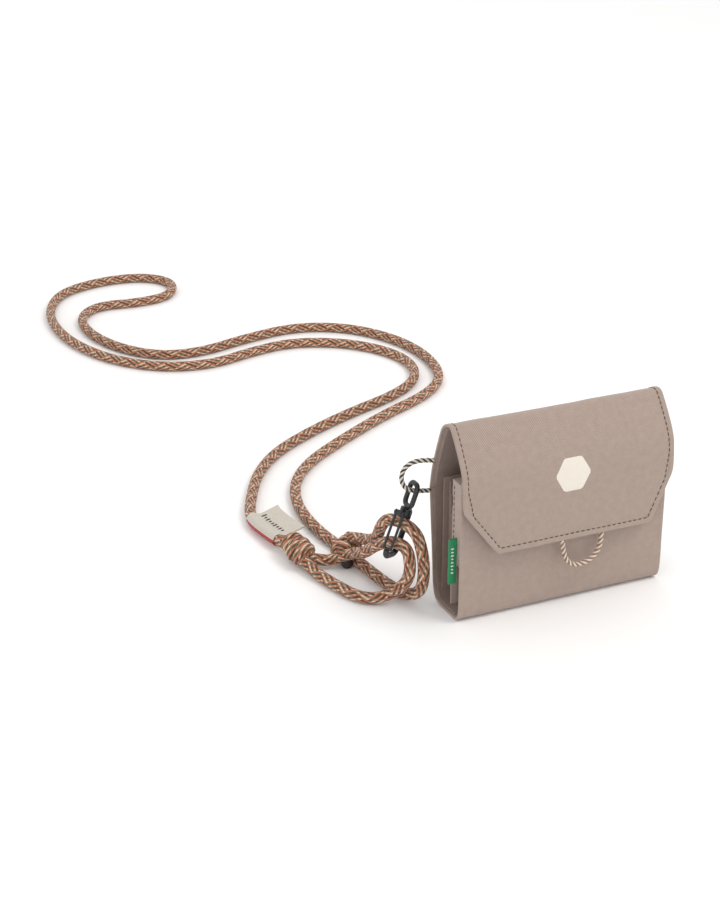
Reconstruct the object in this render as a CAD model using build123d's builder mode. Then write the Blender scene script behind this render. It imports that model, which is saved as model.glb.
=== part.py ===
"""Trifold fabric travel wallet worn on a braided neck cord.

X runs along the wallet, Y to its back, Z up. It stands on its bottom fold, with the origin at the middle of the base.
All sizes are in millimetres.
"""

import os
from math import cos, radians, sin, tan

from build123d import *

# Overall sizes
panel_length = 108.0
flap_length = 110.0
wallet_height = 95.3
front_height = wallet_height - 23.3
crease_height = wallet_height * 0.588
shell = 1.2
lining = 0.5
base_front = -9.5
base_back = 7.0

# Flap outline, seen from the front
flap_corner_z = wallet_height - 37.3
flap_bottom_z = wallet_height - 60.0
flap_bottom_length = 80.0
flap_bottom_shift = 3.0
flap_corner_radius = 4.0
flap_border = 2.0

# Hook and loop closure
patch_length = 36.0
patch_height = 18.0
patch_x = 3.0
patch_z = flap_bottom_z + 13.7
loop_pile = 1.0
hook_pile = 0.9

# Front panel and its coin pocket
front_y = -15.6
front_bottom = 3.2
pocket_length = panel_length - 1.0
pocket_bottom = 6.0
pocket_top = front_height - 2.0
pocket_back_y = -5.6
pocket_cloth = 0.6

# Zip of the coin pocket
zip_z = pocket_top - 11.0
zip_length = 92.0
tape_height = 6.0
tape = 0.4
tooth_row = 1.2
tooth_gap = 0.9
tooth_depth = 1.7
tooth_pitch = 2.0
slider_length = 7.0
slider_plate = 0.6
slider_clearance = 0.15
pull_length = 11.0
pull_width = 3.0
pull_thickness = 0.9

# Card and banknote section
card_width = 85.6
card_play = 10.4
cloth = 0.5
divider_y = 8.5
slot_tops = (56.0, 46.0, 36.0)
slot_bottom = 8.0
slot_step = 1.0
backing_top = 62.0
binding_wall = 0.5

# Labels and emblem
label_length = 23.0
label_middle_z = 31.0
label_reach = 4.3
label_y = -10.9
label_thickness = 1.0
label_ply = 0.45
tag_reach = 15.0
emblem_radius = 10.0
emblem_x = 1.3
emblem_z = flap_bottom_z + 31.7
print_thickness = 0.3

# Cords
neck_cord_diameter = 5.8
thin_cord_diameter = 2.3
tack_length = 5.0

half = panel_length / 2
neck_radius = neck_cord_diameter / 2
thin_radius = thin_cord_diameter / 2

# Swivel snap hook: the axis runs down from the top of its eye
clip_top = Vector(-half - 7.8, 15.0, crease_height + 5.3)
clip_bottom = Vector(-half - 21.1, 15.0, crease_height - 31.4)
eye_wire = 2.4
eye_half_width = 3.4
eye_length = 13.5
stem_diameter = 2.4
bore_clearance = 0.05
collar_diameter = 5.4
collar_length = 3.0
rivet_diameter = 4.0
rivet_height = 0.9
hook_wire = 3.0
hook_mouth = 8.6
gate_wire = 1.3
gate_clearance = 0.25
gate_spread = 1.9
nose_length = 3.2
pin_diameter = 1.2
pin_clearance = 0.05

# Outer lines of the bent sheets (y, z); their thickness grows to the left of the way they run
back_line = [
    (base_front, 0),
    (base_back, 0),
    (11.5, 4),
    (13, 20),
    (15.5, crease_height - 14),
    (17, crease_height),
    (14.5, crease_height + 11),
    (9.8, wallet_height - 16.3),
    (5.9, wallet_height - 7.3),
]
flap_line = [
    (3.9, wallet_height - 3.5),
    (0, wallet_height - 1.1),
    (-4.4, wallet_height),
    (-6.8, wallet_height - 2.8),
    (-12.4, wallet_height - 9.8),
    (-16.6, wallet_height - 16.3),
    (-18.8, wallet_height - 22.3),
    (-19.6, flap_corner_z - 2),
    (-20.8, flap_bottom_z),
]
divider_line = [
    (divider_y + 0.7, 5.8),
    (divider_y, 9.5),
    (divider_y, 45),
    (divider_y + 0.3, backing_top + 2),
]

# Routes of the cords (x, y, z)
floor = neck_radius + 0.1
hook_point = (-69.0, 13.0, 42.0)
neck_route = [
    hook_point,
    (-65.5, 7.7, 40.7),
    (-63.2, 4.6, 31),
    (-62.2, 4.0, 19),
    (-63.0, 5.6, 8.4),
    (-66.4, 14.5, floor),
    (-70.4, 30, floor),
    (-72.6, 49, floor),
    (-74.8, 70, floor),
    (-78.5, 94, floor),
    (-77.5, 122, floor),
    (-69, 148, floor),
    (-52, 170, floor),
    (-22, 191, floor),
    (14, 213, floor),
    (48, 229, floor),
    (69, 250, floor),
    (76, 285, floor),
    (70, 320, floor),
    (50, 350, floor),
    (20, 364, floor),
    (-16, 358, floor),
    (-50, 347, floor),
    (-76, 352, floor),
    (-95, 376, floor),
    (-104, 408, floor),
    (-101, 437, floor),
    (-84, 453, floor),
    (-58, 448, floor),
    (-34, 452, floor),
    (-23, 476, floor),
    (-38, 496, floor),
    (-68, 499, floor),
    (-100, 487, floor),
    (-117, 455, floor),
    (-121, 418, floor),
    (-115, 382, floor),
    (-100, 352, floor),
    (-76, 331, floor),
    (-48, 326, floor),
    (-22, 335, floor),
    (8, 340, floor),
    (38, 326, floor),
    (57, 302, floor),
    (62, 276, floor),
    (52, 252, floor),
    (30, 236, floor),
    (-4, 223, floor),
    (-38, 206, floor),
    (-65, 188, floor),
    (-83, 166, floor),
    (-95, 143, floor),
    (-104.6, 121, floor + 0.6),
    (-103.4, 100, floor + 0.9),
    (-100, 79, 5.6),
]
tail_route = [
    hook_point,
    (-72.8, 18.75, 43.4),
    (-74.4, 25.5, 37),
    (-72.4, 34, 26),
    (-71, 45, 18.6),
    (-71.4, 56, 14.6),
    (-74, 65, 11.6),
]
eye_route = [
    (-95, 63.5, 5.4),
    (-87.5, 60, 3.4),
    (-80.5, 57, 6.4),
    (-77.2, 50.5, 10.6),
    (-77.6, 38, 16.4),
    (-76, 26, 26.8),
    (-72.4, 15.2, 32.6),
    (-68.6, 8.0, 31.0),
    (-68.2, 6.2, 20.4),
    (-69, 9.6, 12.2),
    (-74, 14.8, 5.4),
    (-81.5, 17.2, floor),
    (-88.5, 23.5, floor),
    (-93, 38, floor),
    (-96.6, 52, floor),
    (-98.6, 64, 5.4),
]
side_loop_route = [
    (-half - 0.2, 12.2, crease_height + 15.6),
    (-half - 7, 14, crease_height + 16.6),
    (-half - 13.6, 15, crease_height + 14),
    (-half - 15.8, 15, crease_height + 8.2),
    (-half - 13.4, 15, crease_height + 2.6),
    (-half - 8, 15, crease_height + 0.2),
    (-half - 0.2, 15.9, crease_height - 1.2),
]
pull_loop_route = [
    (-3.4, -20.0, flap_bottom_z - 0.1),
    (-2.6, -20.0, flap_bottom_z - 8.8),
    (3.0, -20.0, flap_bottom_z - 14.9),
    (11.6, -20.0, flap_bottom_z - 14.1),
    (17.6, -20.0, flap_bottom_z - 7.7),
    (17.2, -20.0, flap_bottom_z - 0.1),
]


def offset_line(points, distance):
    """The line moved to the left of the way it runs, with mitred corners."""
    moved = []
    for i, (y, z) in enumerate(points):
        normals = []
        for a, b in ((i - 1, i), (i, i + 1)):
            if a >= 0 and b < len(points):
                run = Vector(points[b][0] - points[a][0], points[b][1] - points[a][1]).normalized()
                normals.append(Vector(-run.Y, run.X))
        middle = (normals[0] + normals[-1]).normalized()
        reach = distance / middle.dot(normals[0])
        moved.append((y + middle.X * reach, z + middle.Y * reach))
    return moved


def bent_sheet(points, near, far, length, centre=0.0, first=0):
    """Adds a sheet that follows the (y, z) line from its first point, between two distances from it."""
    outline = offset_line(points, near)[first:] + offset_line(points, far)[first:][::-1]
    with BuildSketch(Plane.YZ.offset(centre)) as profile:
        with BuildLine():
            Polyline(*outline, close=True)
        make_face()
    extrude(profile.sketch, amount=length / 2, both=True)


def flat_block(x, y, z, mode=Mode.ADD):
    """Adds a block between the given pairs of limits."""
    with Locations(((x[0] + x[1]) / 2, (y[0] + y[1]) / 2, (z[0] + z[1]) / 2)):
        Box(x[1] - x[0], y[1] - y[0], z[1] - z[0], mode=mode)


def flap_outline(border):
    """Keeps what lies inside the flap's front outline, drawn in by the border."""
    side = flap_length / 2 - border
    low = flap_bottom_length / 2 - border * 0.6
    with BuildSketch(Plane.XZ) as outline:
        with BuildLine():
            Polyline(
                (-side, wallet_height + 5),
                (-side, flap_corner_z),
                (flap_bottom_shift - low, flap_bottom_z + border),
                (flap_bottom_shift + low, flap_bottom_z + border),
                (side, flap_corner_z),
                (side, wallet_height + 5),
                close=True,
            )
        make_face()
        low_corners = outline.vertices().filter_by_position(Axis.Y, 0, flap_corner_z + 1)
        fillet(low_corners, radius=flap_corner_radius)
    extrude(outline.sketch, amount=60, both=True, mode=Mode.INTERSECT)


def corner_radii(points):
    """The largest arc that each inner corner's two runs allow."""
    radii = []
    for before, here, after in zip(points, points[1:], points[2:]):
        a, b, c = Vector(before), Vector(here), Vector(after)
        turn = radians((b - a).get_angle(c - b))
        radii.append(0.45 * min((b - a).length, (c - b).length) / tan(turn / 2))
    return radii


def cord_tube(name, points, radius):
    """Adds a round cord along the route and prints its tightest arcs and its length."""
    radii = corner_radii(points)
    with BuildLine() as route:
        FilletPolyline(*points, radius=radii)
    path = route.wire()
    with BuildSketch(Plane(path @ 0, z_dir=path % 0)) as section:
        Circle(radius)
    sweep(section.sketch, path=path)
    print(name, "length", round(path.length, 1), "radii", [round(r, 1) for r in radii])


def tuft(centre, axis, long, thick):
    """Adds a knot's outer shape: an egg of revolution along the axis."""
    plane = Plane(Vector(centre), x_dir=Vector(axis), z_dir=Vector(axis).cross(Vector(0, 0, 1)))
    with BuildSketch(plane) as section:
        Ellipse(long / 2, thick / 2)
        with Locations((0, -thick / 2)):
            Rectangle(long * 2, thick, mode=Mode.SUBTRACT)
    revolve(section.sketch, axis=Axis(plane.origin, plane.x_dir), revolution_arc=360)


finished = []


def finish(piece, name):
    """Labels a finished piece and writes it."""
    piece.part.label = name
    finished.append(name)
    export_step(piece.part, f"parts/{name}.step")


os.makedirs("parts", exist_ok=True)

# ---- Back of the wallet: shell with its bottom fold, and lining
with BuildPart() as back_shell:
    bent_sheet(back_line, 0, shell, panel_length)
finish(back_shell, "back_shell")

with BuildPart() as back_lining:
    bent_sheet(back_line, shell, shell + lining, panel_length - 2, first=2)
finish(back_lining, "back_lining")

# ---- Banknote divider and the card section sewn to it
with BuildPart() as banknote_divider:
    bent_sheet(divider_line, 0, cloth, panel_length - 6)
finish(banknote_divider, "banknote_divider")

slot_length = card_width + card_play
backing_y = divider_y - cloth - 0.1
with BuildPart() as card_backing:
    flat_block((-slot_length / 2, slot_length / 2), (backing_y - cloth, backing_y), (slot_bottom, backing_top))
finish(card_backing, "card_backing")

slot_face = backing_y - cloth
for number, top in enumerate(slot_tops, start=1):
    back = slot_face - slot_step * number + cloth
    foot = slot_bottom + 1.5
    with BuildPart() as card_slot:
        flat_block((-slot_length / 2, slot_length / 2), (back - cloth, back), (slot_bottom, top))
        # the seam allowance along both ends and the foot, which the next slot is sewn on
        for end in (-1, 1):
            edge = sorted((end * slot_length / 2, end * (slot_length / 2 - 2.5)))
            flat_block(edge, (back, back + slot_step - cloth), (slot_bottom, top))
        flat_block((-slot_length / 2, slot_length / 2), (back, back + slot_step - cloth), (slot_bottom, foot))
    finish(card_slot, f"card_slot_{number}")

with BuildPart() as card_binding:
    low = backing_top - 2.5
    front = backing_y - cloth - binding_wall - 0.05
    flat_block((-slot_length / 2, slot_length / 2), (front, front + binding_wall), (low, backing_top + 0.7))
    flat_block((-slot_length / 2, slot_length / 2), (front, backing_y), (backing_top + 0.1, backing_top + 0.7))
finish(card_binding, "card_binding")

# ---- Front panel: outer shell, lining, hem and loop tape
with BuildPart() as front_shell:
    flat_block((-half, half), (front_y, front_y + shell), (front_bottom, front_height))
    fillet(front_shell.edges().filter_by(Axis.Y).group_by(Axis.Z)[-1], radius=2)
finish(front_shell, "front_shell")

with BuildPart() as loop_tape:
    flat_block(
        (patch_x - patch_length / 2, patch_x + patch_length / 2),
        (front_y - loop_pile, front_y),
        (patch_z - patch_height / 2, patch_z + patch_height / 2),
    )
    fillet(loop_tape.edges().filter_by(Axis.Y), radius=1.5)
finish(loop_tape, "loop_tape")

# ---- Coin pocket on the inner side of the front panel
pocket_half = pocket_length / 2
wall_front = pocket_back_y - pocket_cloth
panel_inner = front_y + shell
with BuildPart() as pocket_gusset:
    flat_block((-pocket_half, pocket_half), (panel_inner, wall_front), (pocket_bottom, pocket_top))
    flat_block(
        (-pocket_half + pocket_cloth, pocket_half - pocket_cloth),
        (panel_inner, wall_front),
        (pocket_bottom + pocket_cloth, pocket_top - pocket_cloth),
        mode=Mode.SUBTRACT,
    )
finish(pocket_gusset, "pocket_gusset")

chain_half = tooth_gap / 2 + tooth_row
lower_edge = zip_z - chain_half - 1.0
upper_edge = zip_z + chain_half + 1.0
with BuildPart() as pocket_wall_lower:
    flat_block((-pocket_half, pocket_half), (wall_front, pocket_back_y), (pocket_bottom, lower_edge))
finish(pocket_wall_lower, "pocket_wall_lower")

with BuildPart() as pocket_wall_upper:
    flat_block((-pocket_half, pocket_half), (wall_front, pocket_back_y), (upper_edge, pocket_top))
finish(pocket_wall_upper, "pocket_wall_upper")

for name, side in (("lower", -1), ("upper", 1)):
    inner = zip_z + side * (tooth_gap / 2 + tooth_row)
    outer = inner + side * tape_height
    with BuildPart() as zip_tape:
        low, high = sorted((inner, outer))
        flat_block((-zip_length / 2, zip_length / 2), (wall_front - tape, wall_front), (low, high))
    finish(zip_tape, f"zip_tape_{name}")

    # a row of teeth on their cord
    root = zip_z + side * (tooth_gap / 2 + tooth_row)
    tip = zip_z + side * tooth_gap / 2
    middle_y = wall_front - tape / 2
    with BuildPart() as zip_teeth:
        low, high = sorted((root, root - side * tooth_row * 0.45))
        flat_block((-zip_length / 2 + 3, zip_length / 2 - 3), (middle_y - 0.45, middle_y + 0.45), (low, high))
        count = int((zip_length - 8) / tooth_pitch)
        low, high = sorted((root, tip))
        with GridLocations(tooth_pitch, 1, count, 1):
            with Locations((0, middle_y, (low + high) / 2)):
                Box(tooth_pitch * 0.55, tooth_depth, high - low)
    finish(zip_teeth, f"zip_teeth_{name}")

for name, side in (("start", 1), ("end", -1)):
    with BuildPart() as zip_stop:
        x = side * (zip_length / 2 - 1.6)
        flat_block(
            (x - 1.2, x + 1.2), (middle_y - 1.0, middle_y + 1.0), (zip_z - chain_half, zip_z + chain_half)
        )
    finish(zip_stop, f"zip_stop_{name}")

# ---- Zip slider: two plates joined by a thin wedge that runs between the rows, and a lug
slider_x = zip_length / 2 - 3.2 - slider_length / 2
front_plate = middle_y + tooth_depth / 2 + slider_clearance
back_plate = middle_y - tooth_depth / 2 - slider_clearance
wedge = tooth_gap - 2 * slider_clearance
plate_reach = chain_half + 0.6
lug_y = front_plate + slider_plate
pull_pivot = (lug_y + 0.9, zip_z + 0.6)
x_limits = (slider_x - slider_length / 2, slider_x + slider_length / 2)
with BuildPart() as zip_slider:
    flat_block(x_limits, (front_plate, front_plate + slider_plate), (zip_z - plate_reach, zip_z + plate_reach))
    flat_block(x_limits, (back_plate - slider_plate, back_plate), (zip_z - plate_reach, zip_z + plate_reach))
    flat_block(
        (slider_x - 2, slider_x + 2), (back_plate, front_plate), (zip_z - wedge / 2, zip_z + wedge / 2)
    )
    flat_block((slider_x - 0.6, slider_x + 0.6), (lug_y, lug_y + 1.9), (zip_z - 0.9, zip_z + 2.1))
    with BuildSketch(Plane.YZ.offset(slider_x)) as hole:
        with Locations(pull_pivot):
            Circle(0.5)
    extrude(hole.sketch, amount=2, both=True, mode=Mode.SUBTRACT)
finish(zip_slider, "zip_slider")

with BuildPart() as zip_pull:
    with BuildSketch(Plane.YZ.offset(slider_x)) as pivot_bar:
        with Locations(pull_pivot):
            Circle(0.4)
    extrude(pivot_bar.sketch, amount=pull_width / 2, both=True)
    for end in (-1, 1):
        arm = sorted((slider_x + end * 0.8, slider_x + end * pull_width / 2))
        flat_block(
            arm,
            (pull_pivot[0] - pull_thickness / 2, pull_pivot[0] + pull_thickness / 2),
            (pull_pivot[1] - 4, pull_pivot[1] + 0.45),
        )
    flat_block(
        (slider_x - pull_width / 2, slider_x + pull_width / 2),
        (pull_pivot[0] - pull_thickness / 2, pull_pivot[0] + pull_thickness / 2),
        (pull_pivot[1] - pull_length, pull_pivot[1] - 3.6),
    )
finish(zip_pull, "zip_pull")

# ---- Folded label in the left side seam
with BuildPart() as side_label:
    flat_block(
        (-pocket_half - label_reach, -pocket_half),
        (label_y - label_thickness / 2, label_y + label_thickness / 2),
        (label_middle_z - label_length / 2, label_middle_z + label_length / 2),
    )
    fillet(side_label.edges().filter_by(Axis.Z).group_by(Axis.X)[0], radius=label_thickness * 0.45)
finish(side_label, "side_label")

# ---- Flap: shell, lining, hook tape, emblem and pull loop
with BuildPart() as flap_shell:
    bent_sheet(flap_line, 0, shell, flap_length + 8)
    flap_outline(0)
finish(flap_shell, "flap_shell")

with BuildPart() as flap_lining:
    bent_sheet(flap_line, shell, shell + lining, flap_length + 8, first=1)
    flap_outline(flap_border)
finish(flap_lining, "flap_lining")

flap_front = flap_line[-4:]
inner_face = shell + lining
with BuildPart() as hook_tape:
    bent_sheet(flap_front, inner_face, inner_face + hook_pile, patch_length, patch_x)
    with Locations((0, -18, patch_z)):
        Box(200, 20, patch_height, mode=Mode.INTERSECT)
finish(hook_tape, "hook_tape")

with BuildPart() as emblem:
    bent_sheet(flap_front, -print_thickness, 0, emblem_radius * 3, emblem_x)
    with BuildSketch(Plane.XZ) as outline:
        with Locations((emblem_x, emblem_z)):
            RegularPolygon(emblem_radius, 6)
        fillet(outline.vertices(), radius=1.5)
    extrude(outline.sketch, amount=60, both=True, mode=Mode.INTERSECT)
finish(emblem, "emblem")

with BuildPart() as pull_loop:
    cord_tube("pull_loop", pull_loop_route, thin_radius)
finish(pull_loop, "pull_loop")

# ---- Thin side loop and its two tacks on the back seam
with BuildPart() as side_loop:
    cord_tube("side_loop", side_loop_route, thin_radius)
finish(side_loop, "side_loop")

# ---- Swivel snap hook
clip_run = clip_bottom - clip_top
clip_length = clip_run.length
clip_down = clip_run.normalized()
rope_way = Vector(-0.6, 0.8, 0)
hook_across = clip_down.cross(rope_way).normalized()
eye_plane = Plane(clip_top, x_dir=Vector(0, 1, 0), z_dir=clip_down.cross(Vector(0, 1, 0)))
hook_plane = Plane(clip_top, x_dir=hook_across, z_dir=hook_across.cross(clip_down * -1))
collar_top = eye_length + 0.1
collar_bottom = collar_top + collar_length
hook_bottom = clip_length - hook_wire / 2
spine = hook_wire / 2 + 3.4
gate_side = spine - hook_wire / 2 - hook_mouth - gate_wire / 2


def along(distance):
    """The plane across the hook's axis, at a distance below the top of its eye."""
    return Plane(clip_top + clip_down * distance, z_dir=clip_down)


with BuildPart() as swivel_eye:
    r = eye_wire / 2
    with BuildLine(eye_plane) as ring:
        FilletPolyline(
            (-eye_half_width, -eye_length / 2),
            (-eye_half_width, -r),
            (eye_half_width, -r),
            (eye_half_width, -eye_length + r),
            (-eye_half_width, -eye_length + r),
            (-eye_half_width, -eye_length / 2 - 0.0001),
            radius=2.4,
        )
    with BuildSketch(Plane(ring.wire() @ 0, z_dir=ring.wire() % 0)) as wire:
        Circle(r)
    sweep(wire.sketch, path=ring.wire())
    with BuildSketch(along(eye_length - r)) as stem:
        Circle(stem_diameter / 2)
    extrude(stem.sketch, amount=collar_bottom + 0.1 + rivet_height - (eye_length - r))
    with BuildSketch(along(collar_bottom + 0.1)) as rivet:
        Circle(rivet_diameter / 2)
    extrude(rivet.sketch, amount=rivet_height)
finish(swivel_eye, "swivel_eye")

hook_radius = hook_wire / 2 * 0.92
pivot_down = collar_top + collar_length / 2 + 0.3
nose_tip = hook_bottom - nose_length


def on_hook(across, down, out=0.0):
    """A point in the hook's own plane, or out of it."""
    return clip_top + hook_across * across + clip_down * down + hook_plane.z_dir * out


def hook_pin(start, end, radius, mode=Mode.ADD):
    """Adds a round pin between two points."""
    run = end - start
    with BuildSketch(Plane(start, z_dir=run)) as section:
        Circle(radius)
    extrude(section.sketch, amount=run.length, mode=mode)


with BuildPart() as hook_body:
    with BuildSketch(along(collar_top)) as collar:
        Circle(collar_diameter / 2)
    extrude(collar.sketch, amount=collar_length)
    middle = collar_top + collar_length / 2
    with BuildLine(hook_plane) as bent:
        FilletPolyline(
            (0.0, -middle),
            (spine, -middle - 0.4),
            (spine, -hook_bottom),
            (gate_side, -hook_bottom),
            (gate_side, -nose_tip),
            radius=[1.6, 3.2, 3.0],
        )
    with BuildSketch(Plane(bent.wire() @ 0, z_dir=bent.wire() % 0)) as wire:
        Circle(hook_radius)
    sweep(wire.sketch, path=bent.wire())
    hook_pin(on_hook(-1, middle), on_hook(gate_side, pivot_down), 1.15)
    hook_pin(on_hook(gate_side, pivot_down, -1.25), on_hook(gate_side, pivot_down, 1.25), 1.35)
    hook_pin(
        on_hook(0, collar_top - 1),
        on_hook(0, collar_bottom + 2),
        stem_diameter / 2 + bore_clearance,
        mode=Mode.SUBTRACT,
    )
    hook_pin(
        on_hook(gate_side, pivot_down, -3),
        on_hook(gate_side, pivot_down, 3),
        pin_diameter / 2,
        mode=Mode.SUBTRACT,
    )
finish(hook_body, "hook_body")

with BuildPart() as gate_pin:
    hook_pin(
        on_hook(gate_side, pivot_down, -gate_spread - 0.9),
        on_hook(gate_side, pivot_down, gate_spread + 0.9),
        pin_diameter / 2,
    )
finish(gate_pin, "gate_pin")

with BuildPart() as wire_gate:
    gate_radius = gate_wire / 2
    tip = nose_tip - gate_clearance - gate_radius
    for side in (-1, 1):
        inner, outer = side * (gate_spread - 0.4), side * (gate_spread + 0.5)
        hook_pin(on_hook(gate_side, pivot_down, inner), on_hook(gate_side, pivot_down, outer), 1.25)
        hook_pin(
            on_hook(gate_side, pivot_down, side * gate_spread), on_hook(gate_side, tip, side * gate_spread), gate_radius
        )
    hook_pin(
        on_hook(gate_side, tip, -gate_spread - gate_radius * 0.6),
        on_hook(gate_side, tip, gate_spread + gate_radius * 0.6),
        gate_radius,
    )
    hook_pin(
        on_hook(gate_side, pivot_down, -4),
        on_hook(gate_side, pivot_down, 4),
        pin_diameter / 2 + pin_clearance,
        mode=Mode.SUBTRACT,
    )
finish(wire_gate, "wire_gate")
gate_pivot = on_hook(gate_side, pivot_down)
print("gate pivot", gate_pivot, "axis", hook_plane.z_dir, "clip axis", clip_down, "across", hook_across)

# ---- Neck cord: the long cord, its tail and eye, and its two knots
with BuildPart() as neck_cord:
    cord_tube("neck_cord", neck_route, neck_radius)
finish(neck_cord, "neck_cord")

with BuildPart() as neck_cord_tail:
    cord_tube("neck_cord_tail", tail_route, neck_radius)
finish(neck_cord_tail, "neck_cord_tail")

with BuildPart() as neck_cord_eye:
    cord_tube("neck_cord_eye", eye_route, neck_radius)
finish(neck_cord_eye, "neck_cord_eye")

with BuildPart() as eye_knot:
    tuft((-98, 70.5, 7.3), (0.15, -1, 0), 22, 14.2)
finish(eye_knot, "eye_knot")

with BuildPart() as tail_knot:
    tuft((-75.5, 62, 8.2), (0, 1, 0), 20, 16)
finish(tail_knot, "tail_knot")

# ---- Folded woven label round the cord, above the eye's knot
sleeve_start = Vector(-104.4, 118.5, floor + 0.75)
sleeve_end = Vector(-102.4, 88, floor + 0.95)
sleeve_run = sleeve_end - sleeve_start
with BuildPart() as cord_label:
    with BuildSketch(Plane(sleeve_start, x_dir=(1, 0, 0.26), z_dir=sleeve_run)) as fold:
        Circle(neck_radius + 0.15 + label_ply)
        with Locations((tag_reach / 2, 0)):
            Rectangle(tag_reach, 2 * label_ply)
        Circle(neck_radius + 0.15, mode=Mode.SUBTRACT)
    extrude(fold.sketch, amount=sleeve_run.length)
finish(cord_label, "cord_label")

print(len(finished), "pieces")
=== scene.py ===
# %% [markdown]
# # A trifold travel wallet on a neck cord
# The wallet is a small cloth case: a back, a flap that folds over the top, and a front panel that folds up from
# the base. It stands on its bottom fold, and a long braided cord with a snap hook lies beside and behind it.
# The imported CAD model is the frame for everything. Every visible piece is built round it, in metres.

import math

import bmesh
import bpy
import numpy as np
from mathutils import Matrix, Vector, noise


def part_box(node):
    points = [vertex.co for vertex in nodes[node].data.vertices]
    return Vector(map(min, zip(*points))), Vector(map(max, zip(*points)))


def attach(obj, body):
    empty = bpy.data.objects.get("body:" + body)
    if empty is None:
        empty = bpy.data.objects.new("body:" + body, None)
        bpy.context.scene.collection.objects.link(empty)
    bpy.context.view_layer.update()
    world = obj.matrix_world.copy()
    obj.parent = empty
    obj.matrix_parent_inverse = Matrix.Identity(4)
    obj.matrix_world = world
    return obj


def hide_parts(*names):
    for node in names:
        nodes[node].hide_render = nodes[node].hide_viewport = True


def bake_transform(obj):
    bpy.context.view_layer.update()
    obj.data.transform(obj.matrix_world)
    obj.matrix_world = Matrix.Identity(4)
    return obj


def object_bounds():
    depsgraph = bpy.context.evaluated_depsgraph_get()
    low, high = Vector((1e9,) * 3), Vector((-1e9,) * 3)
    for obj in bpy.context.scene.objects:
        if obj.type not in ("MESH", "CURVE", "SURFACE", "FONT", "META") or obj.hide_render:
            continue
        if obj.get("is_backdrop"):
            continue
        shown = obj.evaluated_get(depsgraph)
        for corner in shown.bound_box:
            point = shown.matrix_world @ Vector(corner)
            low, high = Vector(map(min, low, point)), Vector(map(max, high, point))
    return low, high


mm = 0.001
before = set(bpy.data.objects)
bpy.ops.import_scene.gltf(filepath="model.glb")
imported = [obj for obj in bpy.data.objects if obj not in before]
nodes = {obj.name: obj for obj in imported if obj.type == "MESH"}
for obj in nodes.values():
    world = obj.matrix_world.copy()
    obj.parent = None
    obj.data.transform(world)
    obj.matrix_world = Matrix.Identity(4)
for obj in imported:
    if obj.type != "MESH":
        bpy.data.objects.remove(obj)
cad_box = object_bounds()
print("frame", len(nodes), "nodes", [round(x / mm, 1) for x in cad_box[1] - cad_box[0]], "mm")


# %% [markdown]
# ## Camera and light
# A small product like this is shown from a little above and from its open end, with a long lens so that its
# edges stay nearly parallel. A white sweep and large soft lights leave only a faint shadow on the floor. One
# light is stronger and sits high on the right, so that the flap's edge throws a soft shadow on the front.

# %% Camera
camera = bpy.data.objects.new("camera", bpy.data.cameras.new("camera"))
camera_right = Vector((0.913, -0.407, 0.0)).normalized()
camera_back = Vector((-0.3706, -0.8308, 0.4153)).normalized()
camera_up = camera_back.cross(camera_right)
turn = Matrix((camera_right, camera_up, camera_back)).transposed().to_4x4()
camera.matrix_world = Matrix.Translation((-0.406, -0.6937, 0.4366)) @ turn
camera.data.lens = 76
camera.data.sensor_width = 36
camera.data.clip_start = 0.01
bpy.context.scene.collection.objects.link(camera)
bpy.context.scene.camera = camera
print("camera", [round(v, 3) for v in camera.location])


# %% A colour and a node
def linear(hex_colour, alpha=1.0):
    """An sRGB hex colour as the linear values that a shader takes."""
    values = [int(hex_colour[i : i + 2], 16) / 255 for i in (0, 2, 4)]
    return (*[v / 12.92 if v <= 0.04045 else ((v + 0.055) / 1.055) ** 2.4 for v in values], alpha)


def add(tree, kind, inputs=None, **settings):
    """Adds a node, with its settings, and with values or links on its inputs."""
    made = tree.nodes.new(kind)
    for name, value in settings.items():
        setattr(made, name, value)
    for name, value in (inputs or {}).items():
        if isinstance(value, bpy.types.NodeSocket):
            tree.links.new(value, made.inputs[name])
        else:
            made.inputs[name].default_value = value
    return made


def new_material(name, **values):
    """A material of that name, its node tree and its shader, with uniform values set on the shader."""
    made = bpy.data.materials.new(name)
    made.use_nodes = True
    shader = made.node_tree.nodes["Principled BSDF"]
    for socket, value in values.items():
        shader.inputs[socket.replace("_", " ")].default_value = value
    return made, made.node_tree, shader


# %% Lights
def soft_light(name, place, size, power, colour="ffffff"):
    """A square area light that faces the wallet."""
    data = bpy.data.lights.new(name, "AREA")
    data.size, data.energy, data.color = size, power, linear(colour)[:3]
    lamp = bpy.data.objects.new(name, data)
    lamp.location = place
    lamp.rotation_euler = (Vector((0, 0.05, 0.04)) - lamp.location).to_track_quat("-Z", "Y").to_euler()
    bpy.context.scene.collection.objects.link(lamp)
    return lamp


soft_light("key", (0.5, -0.45, 1.2), 0.5, 5.5, "fffaf4")
soft_light("fill", (-1.1, -0.7, 0.6), 0.9, 1.8)
soft_light("back", (0.2, 1.4, 1.1), 1.2, 2.4)
world = bpy.data.worlds.new("studio")
world.use_nodes = True
world.node_tree.nodes["Background"].inputs["Color"].default_value = linear("ffffff")
world.node_tree.nodes["Background"].inputs["Strength"].default_value = 0.88
bpy.context.scene.world = world
bpy.context.scene.view_settings.view_transform = "Standard"

# %% [markdown]
# ## Floor
# The floor is matt white card, so nothing mirrors in it.

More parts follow.
